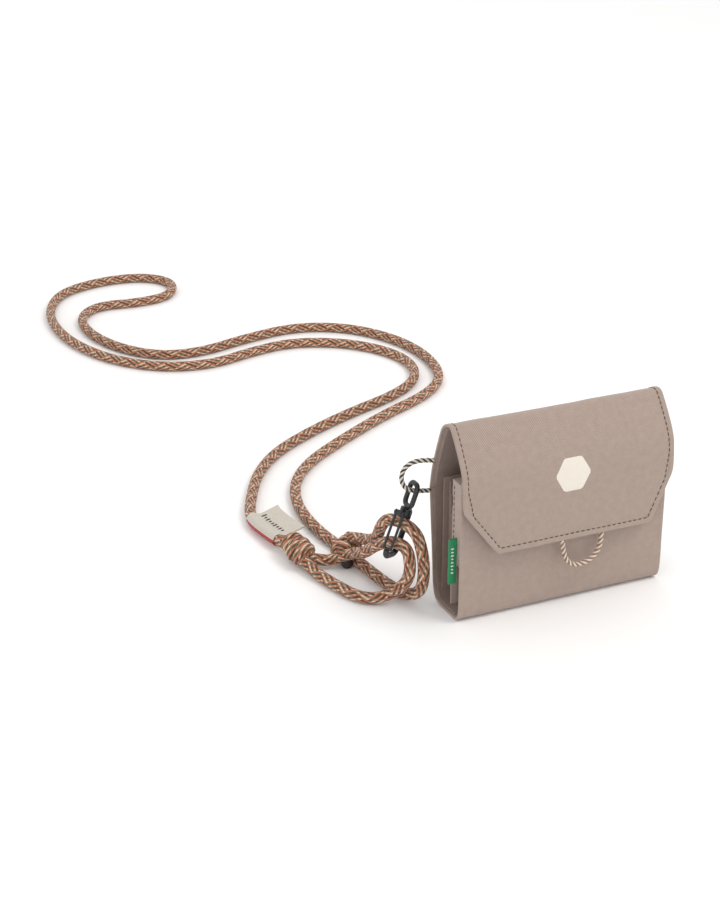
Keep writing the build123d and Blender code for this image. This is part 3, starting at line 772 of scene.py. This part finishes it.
flap_side, back_side = flap_high.x, back_high.x
upper = side_line(upper_line)
upper_length = float(travel_along(upper)[-1])
corner_height = 58.0  # where the flap's sides start to slant in
corner_down = down_to(upper, corner_height)
top_down = down_to(upper, top - 1.2)
low_left, low_right = -37 * mm, 43 * mm


def chamfered(side, low):
    """An edge that runs straight, then slants in to the flap's bottom, with soft corners."""
    edge = [(0.0, math.copysign(back_side, side)), (top_down, side), (corner_down - 4 * mm, side)]
    edge.append((corner_down - 1.5 * mm, side * 0.998))
    edge.append((corner_down + 1.5 * mm, side - math.copysign(0.9 * mm, side)))
    for above, share in ((1.6 * mm, 0.09), (0.8 * mm, 0.045), (0.0, -0.03)):
        edge.append((upper_length - above, low + (side - low) * share))
    return edge


# %% Upper cloth: back, top and flap
upper_cloth = Cloth(
    upper, (1, 0, 0), chamfered(-flap_side, low_left), chamfered(flap_side, low_right), 1.2 * mm,
    hem=0.35 * mm, groove=0.3 * mm, waves=0.32 * mm, seed=1.3,
)  # fmt: skip


def bends(piece, replaced):
    """Hides the CAD nodes that the piece replaces and bakes the piece's transform into its mesh."""
    if replaced:
        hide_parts(*replaced)
    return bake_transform(piece)


def bends_with_flap(piece, slot_name, *replaced):
    """Hides those CAD nodes and bakes the piece's transform, for a piece that lies across the flap's fold."""
    return bends(piece, replaced)


shell_upper = bends_with_flap(upper_cloth.build("outer_cloth_upper", [twill]), "shell_fabric", "flap_shell")
print("upper cloth", round(upper_length / mm, 1), "mm long", len(shell_upper.data.vertices), "points")

# %% Lower cloth: front, base and back
lower = side_line(lower_line)
lower_cloth = Cloth(
    lower, (1, 0, 0), -back_side, back_side, 1.2 * mm, hem=0.12 * mm, groove=0.1 * mm, waves=0.4 * mm, seed=4.1
)


def bends_with_front(piece, slot_name, *replaced):
    """Hides those CAD nodes and bakes the piece's transform, for a piece that lies across the front panel's fold.
    """
    return bends(piece, replaced)


shell_lower = bends_with_front(
    lower_cloth.build("outer_cloth_lower", [twill]), "shell_fabric", "back_shell", "front_shell"
)
print("lower cloth", round(lower_cloth.length / mm, 1), "mm long")

# %% Stitches round the flap, and along the front and the back
inset = stitch_inset * mm


def edge_run(cloth, which, start, end, distance, count=60):
    """Places a set distance in from an edge."""
    sign = 1 if which == 0 else -1
    downs = np.linspace(start, end, count)
    return [(cloth.side(which, d) + sign * distance * cloth.lean(which, d), d) for d in downs]


left_run = edge_run(upper_cloth, 0, 2 * mm, upper_length - inset, inset)
right_run = edge_run(upper_cloth, 1, 2 * mm, upper_length - inset, inset)
bottom_run = [left_run[-1], right_run[-1]]


def thinned(run, spacing=12 * mm):
    """Fewer places along a run, so that its stitches keep their length."""
    kept = [run[0]]
    for place in run[1:-1]:
        if np.linalg.norm(np.array(place) - np.array(kept[-1])) > spacing:
            kept.append(place)
    return kept + [run[-1]]


for label, run in (("left", left_run), ("right", right_run), ("bottom", bottom_run)):
    row = stitches(f"flap_stitches_{label}", upper_cloth, thinned(run))
    bends_with_flap(row, "shell_fabric")
front_inset = 3.2 * mm
base_run = 26 * mm
back_starts = down_to(lower, 4.5, front=False) + base_run  # the front's own sides are turned in and sewn inside
for label, which in (("left", 0), ("right", 1)):
    run = edge_run(lower_cloth, which, back_starts, lower_cloth.length - 1 * mm, front_inset)
    bends_with_front(stitches(f"side_stitches_{label}", lower_cloth, thinned(run)), "shell_fabric")
hem_run = [(-back_side + front_inset, front_inset), (back_side - front_inset, front_inset)]
bends_with_front(stitches("front_hem_stitches", lower_cloth, hem_run), "shell_fabric")

# %% [markdown]
# ## Lining
# A thin plain-woven lining covers the inside of the back and the flap. It stops a little short of the edges.

# %% Lining of the back and the flap
lining_gap = 1.35 * mm


def drawn_in(edge, by):
    """The same edge, nearer to the middle."""
    return [(down, x - math.copysign(by, x)) for down, x in edge]


upper_lining = Cloth(
    upper, (1, 0, 0), drawn_in(chamfered(-flap_side, low_left), 2.2 * mm),
    drawn_in(chamfered(flap_side, low_right), 2.2 * mm), 0.5 * mm, inset=lining_gap, waves=0.25 * mm, seed=1.3,
)  # fmt: skip
bends_with_flap(upper_lining.build("lining_upper", [lining_weave], 2 * mm), "lining_fabric", "flap_lining")
lower_lining = Cloth(
    side_line([(-9, 0), *lower_line[5:]]), (1, 0, 0), -back_side + 1.5 * mm, back_side - 1.5 * mm, 0.5 * mm,
    inset=lining_gap, waves=0.25 * mm, seed=4.1,
)  # fmt: skip
rides(lower_lining.build("lining_back", [lining_weave], 2 * mm), "root", "lining_fabric", "back_lining")


# %% [markdown]
# ## Inside: divider, card slots and the coin pocket
# The inner parts are flat pieces of the same lining, and each card slot is stitched along its top edge. They
# get the same soft waves as the rest, but smaller, because cards keep them flat. The coin pocket's walls are
# twill.

# %% Flat pieces that stand upright
def upright(name, node, body, slot_name, material, groove=0.0, waves=0.12, depth=None, seed=0.0):
    """A flat piece of cloth that fills a CAD sheet's place, facing forwards."""
    low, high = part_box(node)
    thick = depth or (high.y - low.y)
    y = low.y
    line = np.array([(0, y, high.z - 0.02 * mm), (0, y, (low.z + high.z) / 2), (0, y, low.z + 0.02 * mm)])
    cloth = Cloth(
        line, (1, 0, 0), low.x, high.x, thick, inset=0.15 * mm, groove=groove * mm, waves=waves * mm, seed=seed,
    )  # fmt: skip
    piece = rides(cloth.build(name, [material], 2 * mm), body, slot_name, node)
    return cloth, piece


divider_low, divider_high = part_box("banknote_divider")
divider_points = [(8.0, 64), (8.0, 45), (8.0, 9.5), (8.7, 5.8)]
divider = Cloth(
    side_line(divider_points), (1, 0, 0), divider_low.x, divider_high.x, 0.5 * mm, waves=0.15 * mm,
    groove=0.1 * mm, seed=7.7,
)  # fmt: skip
divider_piece = divider.build("banknote_divider_cloth", [lining_weave], 2 * mm)
rides(divider_piece, "root", "lining_fabric", "banknote_divider")
upright("card_backing_cloth", "card_backing", "root", "lining_fabric", lining_weave, seed=2.2)
for number in (1, 2, 3):
    slot_cloth, _ = upright(
        f"card_slot_cloth_{number}", f"card_slot_{number}", "root", "lining_fabric", lining_weave,
        depth=0.5 * mm, groove=0.12, seed=10.0 + number,
    )  # fmt: skip
    run = [(slot_cloth.side(0, 0) + 3 * mm, 3 * mm), (slot_cloth.side(1, 0) - 3 * mm, 3 * mm)]
    rides(stitches(f"card_slot_stitches_{number}", slot_cloth, run, thick=0.4), "root", "lining_fabric")
print("inner cloths done")

# %% [markdown]
# The card section's top edge is bound with a folded tape, like an upside-down U.

# %% Binding tape
bind_low, bind_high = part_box("card_binding")
front_leg, back_leg = bind_low.y + 0.05 * mm, bind_high.y - 0.05 * mm
binding_line = [
    (back_leg, bind_high.z - 0.3 * mm), (back_leg - 0.1 * mm, bind_high.z), (front_leg + 0.3 * mm, bind_high.z),
    (front_leg, bind_high.z - 0.4 * mm), (front_leg, bind_low.z),
]  # fmt: skip
binding = Cloth(
    soften([(0, y, z) for y, z in binding_line]), (1, 0, 0), bind_low.x, bind_high.x, 0.45 * mm, seed=3.3
)
rides(binding.build("card_binding_tape", [tape_weave], 1.5 * mm), "root", "binding_tape", "card_binding")
bound_run = [(bind_low.x + 2 * mm, 2.2 * mm), (bind_high.x - 2 * mm, 2.2 * mm)]
rides(stitches("card_binding_stitches", binding, bound_run, thick=0.4), "root", "binding_tape")

# %% Coin pocket walls, on the side that faces the cards
def facing_back(name, node, body, slot_name, material, groove=0.0, waves=0.1, seed=0.0):
    """A flat piece of cloth that fills a CAD sheet's place, facing the back."""
    low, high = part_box(node)
    y = high.y
    line = np.array([(0, y, low.z + 0.02 * mm), (0, y, (low.z + high.z) / 2), (0, y, high.z - 0.02 * mm)])
    cloth = Cloth(
        line, (1, 0, 0), low.x, high.x, high.y - low.y, groove=groove * mm, waves=waves * mm, seed=seed
    )
    return cloth, rides(cloth.build(name, [material], 2 * mm), body, slot_name, node)


for name, seed in (("pocket_wall_lower", 5.5), ("pocket_wall_upper", 6.5)):
    wall, _ = facing_back(f"{name}_cloth", name, "front_panel", "shell_fabric", twill, groove=0.1, seed=seed)
    down = wall.length - 2 * mm if name.endswith("lower") else 2 * mm
    run = [(wall.side(0, 0) + 2 * mm, down), (wall.side(1, 0) - 2 * mm, down)]
    rides(stitches(f"{name}_stitches", wall, run, thick=0.4), "front_panel", "shell_fabric")
for name, seed in (("zip_tape_lower", 8.5), ("zip_tape_upper", 9.5)):
    facing_back(f"{name}_cloth", name, "front_panel", "zip_tape", zip_weave, waves=0.03, seed=seed)

# %% Gusset of the coin pocket: a band round its two ends and its foot and top
gusset_low, gusset_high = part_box("pocket_gusset")
gusset_inset = 0.05 * mm


def gusset_band(name, points, seed):
    """A band of cloth as deep as the pocket, along points (x, z)."""
    line = soften([(x, 0, z) for x, z in points], 3)
    band = Cloth(
        line, (0, 1, 0), gusset_low.y + 0.1 * mm, gusset_high.y - 0.1 * mm, 0.55 * mm, waves=0.5 * mm, seed=seed
    )
    return band, band.build(name, [twill], 2 * mm)


x0, x1 = gusset_low.x + gusset_inset, gusset_high.x - gusset_inset
z0, z1 = gusset_low.z + gusset_inset, gusset_high.z - gusset_inset
around_pocket = [(x1, z1), (x1, z0), (x0, z0), (x0, z1)]
gusset, gusset_piece = gusset_band("pocket_gusset_band", around_pocket, 3.9)
rides(gusset_piece, "front_panel", "shell_fabric", "pocket_gusset")
_, roof_piece = gusset_band("pocket_gusset_roof", [(x0, z1), (0, z1), (x1, z1)], 4.9)
rides(roof_piece, "front_panel", "shell_fabric")
from_end = 2 * mm
leg = z1 - z0 - 3 * mm
edge_y = gusset_high.y - 1.6 * mm
for label, start in (("right", from_end), ("left", gusset.length - from_end - leg)):
    row = stitches(f"gusset_stitches_{label}", gusset, [(edge_y, start), (edge_y, start + leg)], thick=0.45)
    rides(row, "front_panel", "shell_fabric")
print("coin pocket done")


# %% [markdown]
# ## Hook and loop patches
# One patch is a mat of stiff nylon hooks, the other a felt of soft loops. Each is drawn as hundreds of small
# bent threads on a woven base, which is what gives these tapes their rough look at a grazing angle.

# %% Hook and loop
def fibre_patch(name, node, way, body, bend, base_at, spacing=1.2):
    """A woven base with rows of small bent threads that stand out from the cloth it is sewn to."""
    low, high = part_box(node)
    tall = 0.85 * mm
    rows, columns = int((high.z - low.z) / (spacing * mm)) - 1, int((high.x - low.x) / (spacing * mm)) - 1
    places, faces, maps = [], [], []
    for i in range(rows):
        for k in range(columns):
            lay = Vector((k * 0.37, i * 0.53, 1.7 * bend))
            x = low.x + (k + 1 + 0.25 * noise.noise(lay)) * spacing * mm
            z = low.z + (i + 1 + 0.25 * noise.noise(lay + Vector((9, 4, 2)))) * spacing * mm
            lean = noise.noise(lay + Vector((3, 8, 5))) * bend * mm
            root_y = base_at(z)
            arc = [(0, 0), (0.15, 0.6), (0.5, 0.95), (0.85, 0.7)]
            line = np.array(
                [
                    (x + s * (lean + bend * 0.5 * mm), root_y + way * (0.25 + 0.75 * h) * tall, z + s * lean)
                    for s, h in arc
                ]
            )
            points, quads, uv = tube_parts(line, 0.11 * mm, 4)
            first = len(places)
            places += points
            faces += [tuple(v + first for v in quad) for quad in quads]
            maps += uv
    threads = new_piece(f"{name}_threads", mapped_mesh(f"{name}_threads", places, faces, maps), [pile])
    rides(threads, body, "hook_and_loop")
    line = np.array([(0, base_at(z) + way * 0.35 * tall, z) for z in np.linspace(high.z, low.z, 5)])
    if way > 0:
        line = line[::-1]
    base = Cloth(line, (1, 0, 0), low.x, high.x, 0.3 * mm, groove=0.08 * mm, seed=2.0)
    rides(base.build(f"{name}_base", [pile], 1.5 * mm), body, "hook_and_loop", node)
    margin = 1.5 * mm
    left, right, end = low.x + margin, high.x - margin, base.length - margin
    inner_run = [(left, margin), (right, margin), (right, end), (left, end), (left, margin)]
    rides(stitches(f"{name}_stitches", base, inner_run, thick=0.4, lift=0.3), body, "hook_and_loop")


def on_front_panel(height):
    """The front panel's outer face."""
    return front_y * mm


def on_flap_lining(height):
    """The flap lining's inner face at that height."""
    falling = upper[::-1]
    return float(np.interp(height, falling[:, 2][:80], falling[:, 1][:80])) + 1.8 * mm


fibre_patch("loop_patch", "loop_tape", -1, "front_panel", 0.5, on_front_panel)
fibre_patch("hook_patch", "hook_tape", 1, "flap", 0.25, on_flap_lining)
print("hook and loop done")

# %% [markdown]
# ## Emblem
# The flap carries a small printed mark. Here it is a plain hexagon of cream ink: the print is so thin that it
# follows every wave of the cloth, so it is laid on the cloth's own surface.

# %% Printed hexagon
mark_low, mark_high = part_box("emblem")
mark_x, mark_z = (mark_low.x + mark_high.x) / 2, (mark_low.z + mark_high.z) / 2
mark_radius = (mark_high.x - mark_low.x) / 2
mark_down = down_to(upper, mark_z / mm)
places, faces, maps = [], [], []
rings, spokes = 10, 72
flat = math.cos(math.pi / 6)
for ring in range(rings + 1):
    for k in range(spokes):
        angle = 2 * math.pi * k / spokes
        from_corner = abs((angle + math.pi / 6) % (math.pi / 3) - math.pi / 6)
        reach_out = min(flat / math.cos(math.pi / 6 - from_corner), 0.96)
        out = mark_radius * reach_out * ring / rings
        side, down = mark_x + out * math.cos(angle), mark_down + out * math.sin(angle)
        places.append(upper_cloth.place(side, down, (0.1 if ring < rings else -0.1) * mm))
for ring in range(rings):
    for k in range(spokes):
        a, b = ring * spokes + k, ring * spokes + (k + 1) % spokes
        faces.append((a, b, b + spokes, a + spokes))
        maps.append(((0, 0),) * 4)
mark = new_piece("printed_hexagon", mapped_mesh("printed_hexagon", places, faces, maps), [film])
close_up(mark.data, 0.01 * mm)
rides(mark, "flap", "emblem_print", "emblem")

# %% [markdown]
# ## Side label
# A woven satin label is folded over and sewn into the seam at the wallet's left end. Its marks are plain bars.

# %% Green side label
label_low, label_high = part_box("side_label")
ply = 0.42 * mm
x_fold, x_seam = label_low.x, label_high.x
y_front, y_back = label_low.y, label_high.y
fold_line = [
    (x_seam, y_back), (x_fold + 2 * mm, y_back), (x_fold + 0.1 * mm, y_back), (x_fold, y_back - 0.3 * mm),
    (x_fold, y_front + 0.3 * mm), (x_fold + 0.1 * mm, y_front), (x_fold + 2 * mm, y_front), (x_seam, y_front),
]  # fmt: skip
label = Cloth(
    soften([(x, y, 0) for x, y in fold_line]), (0, 0, 1), label_low.z, label_high.z, ply,
    waves=0.08 * mm, seed=6.1,
)
rides(label.build("folded_side_label", [green_satin], 1.5 * mm), "front_panel", "label_green", "side_label")
bar_lengths = (1.5, 1.1, 1.5, 0.9, 1.3, 1.5, 1.0, 1.4)
bars_down = label.length - 2.2 * mm  # from the seam, on the front ply
for number, bar in enumerate(bar_lengths):
    height = label_high.z - 5.0 * mm - number * 1.75 * mm
    run = [(height, bars_down - bar / 2 * mm), (height, bars_down + bar / 2 * mm)]
    marks = stitches(f"label_bar_{number}", label, run, white_thread, long=bar, gap=0.0, thick=0.8, lift=0.02)
    rides(marks, "front_panel", "label_green")

# %% [markdown]
# ## Thin loops
# Two short loops of twisted yarn are sewn into the wallet's side and under the flap's edge. Each shows four
# plies that wind round one another.

# %% Twisted thin cords
def twisted_cord(name, route, node, body, yarns, diameter=2.3 * mm, turn_every=5.5 * mm):
    """A cord of four twisted yarns along a route in millimetres, and the points that it follows."""
    line, length = evenly(spline_line(name, metres(route)), 0.35 * mm)
    across, over = frames_along(line)
    travel = np.linspace(0, length, len(line))
    yarn_radius, offset = diameter * 0.22, diameter * 0.28
    places, faces, maps, material_of = [], [], [], []
    for number in range(len(yarns)):
        angle = 2 * math.pi * (travel / turn_every + number / len(yarns))
        strand = line + offset * (np.cos(angle)[:, None] * across + np.sin(angle)[:, None] * over)
        points, quads, uv = tube_parts(strand, yarn_radius, 10)
        first = len(places)
        places += points
        faces += [tuple(v + first for v in quad) for quad in quads]
        maps += uv
        material_of += [number] * len(quads)
    made = new_piece(name, mapped_mesh(name, places, faces, maps, material_of), yarns)
    rides(made, body, "thin_cord", node)
    print(name, "length", round(length / mm, 1), "mm")
    return made, line, length


side_x = back_low.x / mm - 0.2
side_loop_route = [
    (side_x, 12.2, 71.6), (-61, 14, 72.6), (-67.6, 15, 70), (-69.8, 15, 64.2), (-67.4, 15, 58.6), (-62, 15, 56.2),
    (side_x, 15.9, 54.8),
]  # fmt: skip
pull_top = bottom - 0.1
pull_loop_route = [
    (-3.4, -20, pull_top), (-2.6, -20, 26.5), (3, -20, 20.4), (11.6, -20, 21.2), (17.6, -20, 27.6),
    (17.2, -20, pull_top),
]  # fmt: skip
side_loop, side_loop_line, side_loop_length = twisted_cord(
    "twisted_side_loop", side_loop_route, "side_loop", "root", [twist_cream, twist_grey] * 2
)
pull_loop, pull_loop_line, pull_loop_length = twisted_cord(
    "twisted_pull_loop", pull_loop_route, "pull_loop", "flap", [twist_cream, twist_brown] * 2
)

# %% [markdown]
# ## Label on the cord
# A woven satin label is folded round the cord and sewn shut close beside it, so it is a sleeve with a flat
# flag. Its two plies part a little at the free edge. A red stripe runs along the edge by the cord.

# %% Cord label: a folded sleeve with a flag
sleeve_start = Vector((-104.4, 118.5, 3.75)) * mm
sleeve_end = Vector((-102.4, 88, 3.95)) * mm
sleeve_way = (sleeve_end - sleeve_start).normalized()
flag_way = Vector((1, 0, 0.26)).normalized()
flag_way = (flag_way - sleeve_way * flag_way.dot(sleeve_way)).normalized()
flag_up = flag_way.cross(sleeve_way)
if flag_up.z < 0:
    flag_up = -flag_up
sleeve_radius = neck_diameter / 2 + 0.6 * mm
flag_reach = 15 * mm
flag_points = [(flag_reach, 0.75 * mm), (flag_reach * 0.6, 0.5 * mm), (sleeve_radius + 1.6 * mm, 0.5 * mm)]
flag_points.append((sleeve_radius * 0.9, 1.2 * mm))
for step in range(1, 10):
    angle = math.radians(50 + step * 26)
    flag_points.append((sleeve_radius * 1.03 * math.cos(angle), sleeve_radius * 1.03 * math.sin(angle)))
flag_points += [(sleeve_radius * 0.9, -1.2 * mm), (sleeve_radius + 1.6 * mm, -0.15 * mm)]
flag_points += [(flag_reach * 0.6, -0.15 * mm), (flag_reach * 0.98, -0.3 * mm)]
flag_line = soften([np.array(flag_way * a + flag_up * b) for a, b in flag_points])
sleeve_length = (sleeve_end - sleeve_start).length
print("sleeve", round(sleeve_length / mm, 1), "mm")
cord_label = Cloth(
    flag_line + np.array(sleeve_start), np.array(sleeve_way), 0.0, sleeve_length, 0.45 * mm,
    waves=0.12 * mm, seed=8.8,
)
label_piece = cord_label.build("folded_cord_label", [cream_satin, red_satin], 1.5 * mm)
for face in label_piece.data.polygons:
    spot = face.center - sleeve_start
    around = math.degrees(math.atan2(spot.dot(flag_up), spot.dot(flag_way))) % 360
    if 150 < around < 225 and spot.dot(flag_way) < 0:
        face.material_index = 1
label_marks = []
for number, bar in enumerate((3.2, 1.6, 2.6, 1.6, 1.6, 2.6, 1.6, 2.2, 1.6)):
    place = (4.0 + number * 2.6) * mm
    run = [(place, (9.4 - bar / 2) * mm), (place, (9.4 + bar / 2) * mm)]
    label_marks.append(stitches(f"cord_label_bar_{number}", cord_label, run, dark_thread, bar, 0.0, 0.9, 0.02))


last_run = neck_line[int(len(neck_line) * 0.93) :]
ahead = (last_run - np.array(sleeve_start)) @ np.array(sleeve_way)
aside = last_run - np.array(sleeve_start) - np.outer(ahead, np.array(sleeve_way))
in_order = np.argsort(ahead)


def follows_cord(piece):
    """Moves the label's places aside as the cord's own line moves aside within the sleeve."""
    for vertex in piece.data.vertices:
        forward = (vertex.co - sleeve_start).dot(sleeve_way)
        vertex.co += Vector([np.interp(forward, ahead[in_order], aside[in_order][:, i]) for i in range(3)])


for piece in [label_piece, *label_marks]:
    follows_cord(piece)
for piece in label_marks:
    rides(piece, "root", "label_cream")
rides(label_piece, "root", "label_cream", "cord_label")

rides(neck_cord, "root", "neck_cord", "neck_cord")
rides(neck_tail, "root", "neck_cord", "neck_cord_tail")
rides(neck_eye, "root", "neck_cord", "neck_cord_eye")

# %% [markdown]
# ## Metal and moulded parts
# The snap hook, its eye and gate, and the zip's slider and pull are cast zinc with a satin black paint. Their
# CAD shapes are right as they are, so they stay and get their materials. The zip's teeth are moulded acetal.

# %% Materials on the CAD parts that stay
kept = {
    paint: ["hook_body", "gate_pin", "wire_gate", "swivel_eye", "zip_slider", "zip_pull"],
    moulded: ["zip_teeth_lower", "zip_teeth_upper", "zip_stop_start", "zip_stop_end"],
}
for material, names in kept.items():
    for name in names:
        for place in nodes[name].material_slots:
            place.material = material
print("kept", sum(len(names) for names in kept.values()), "CAD parts")

# %% Sizes, and the end
made_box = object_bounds()
grown = [round((b - a) / mm, 1) for a, b in zip(cad_box[1], made_box[1])]
print("visual box past the CAD box, high side", grown, "mm")
